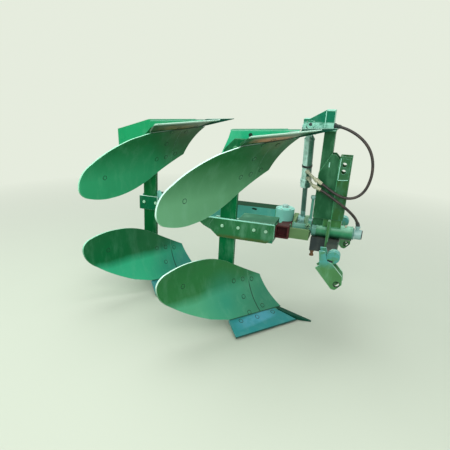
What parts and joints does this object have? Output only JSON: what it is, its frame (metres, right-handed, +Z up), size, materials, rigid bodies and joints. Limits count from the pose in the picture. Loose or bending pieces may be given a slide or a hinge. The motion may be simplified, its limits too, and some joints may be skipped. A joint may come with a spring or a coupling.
{
  "type": "reversible moldboard plough",
  "caption": "Reversible moldboard plough: paired curved bodies above and below a frame that a cylinder turns over on a linkage headstock.",
  "frame": {"origin": "middle of the bounding box at ground level", "axes": "+X forward, towards the tractor; +Y to the left; +Z up; the turnover axis runs along X at 0.614 m height"},
  "size_m": [1.8025, 1.1765, 1.322],
  "materials": {
    "board_green": "worn gloss paint, polished by soil in places",
    "share_green": "gloss paint over steel, bare along the edge",
    "frame_green": "gloss paint with dust",
    "headstock_green": "gloss paint with dust",
    "red_primer": "matt primer",
    "olive_paint": "faded paint with oil and dust",
    "dark_paint": "dark oily paint",
    "cylinder_green": "gloss paint",
    "rod_chrome": "hard chrome",
    "bright_steel": "zinc plate, turned",
    "hose_rubber": "satin rubber hose"
  },
  "bodies": {
    "headstock": {"bearing_tube": "headstock_green", "bulkhead": "headstock_green", "cross_beam": "headstock_green", "hose_loop": "hose_rubber", "hose_union": "hose_rubber", "loop_fitting": "dark_paint", "lower_link_left": "headstock_green", "lower_link_right": "headstock_green", "mast_bar": "headstock_green", "mast_plates": "headstock_green", "rotary_union": "bright_steel", "stop_box": "dark_paint", "top_bracket": "headstock_green", "top_link_channel": "headstock_green", "top_pin": "bright_steel"},
    "turning_frame": {"cheek_left": "frame_green", "cheek_right": "frame_green", "clamp_plate_rear": "frame_green", "crank_arm": "olive_paint", "cross_tube": "red_primer", "frog_front_lower": "frame_green", "frog_front_upper": "frame_green", "frog_rear_lower": "frame_green", "frog_rear_upper": "frame_green", "front_beam": "frame_green", "landside_front_lower": "frame_green", "landside_front_upper": "frame_green", "landside_rear_lower": "frame_green", "landside_rear_upper": "frame_green", "leg_front": "frame_green", "leg_rear": "frame_green", "main_beam": "frame_green", "moldboard_front_lower": "board_green", "moldboard_front_upper": "board_green", "moldboard_rear_lower": "board_green", "moldboard_rear_upper": "board_green", "pivot_sleeve": "frame_green", "share_front_lower": "share_green", "share_front_upper": "share_green", "share_point_front_lower": "share_green", "share_point_front_upper": "share_green", "share_point_rear_lower": "share_green", "share_point_rear_upper": "share_green", "share_rear_lower": "share_green", "share_rear_upper": "share_green", "shin_front_lower": "board_green", "shin_front_upper": "board_green", "shin_rear_lower": "board_green", "shin_rear_upper": "board_green", "stay_front_lower": "frame_green", "stay_front_upper": "frame_green", "stay_rear_lower": "frame_green", "stay_rear_upper": "frame_green", "stop_screw": "frame_green", "turnover_shaft": "bright_steel", "yoke_block": "olive_paint"},
    "barrel": {"cylinder_barrel": "cylinder_green", "port_pipes": "bright_steel"},
    "rod": {"cylinder_rod": "rod_chrome", "eye_pin": "bright_steel"}
  },
  "joints": [
    {"name": "turnover", "type": "hinge", "parent": "headstock", "child": "turning_frame", "pos_m": [0.74375, 0.20025, 0.614], "axis": [1, 0, 0], "range_deg": [0, 180]},
    {"name": "barrel_swing", "type": "hinge", "parent": "headstock", "child": "barrel", "pos_m": [0.53075, 0.20025, 1.217], "axis": [1, 0, 0], "range_deg": [-28, 0]},
    {"name": "rod_slide", "type": "slide", "parent": "barrel", "child": "rod", "axis": [0, -0.2414, 0.9704], "range_m": [0, 0.2]}
  ],
  "couplings": [
    {"joint": "barrel_swing", "follows": "turnover", "ratio": -0.1552},
    {"joint": "rod_slide", "follows": "turnover", "m_per_rad": 0.0635}
  ]
}
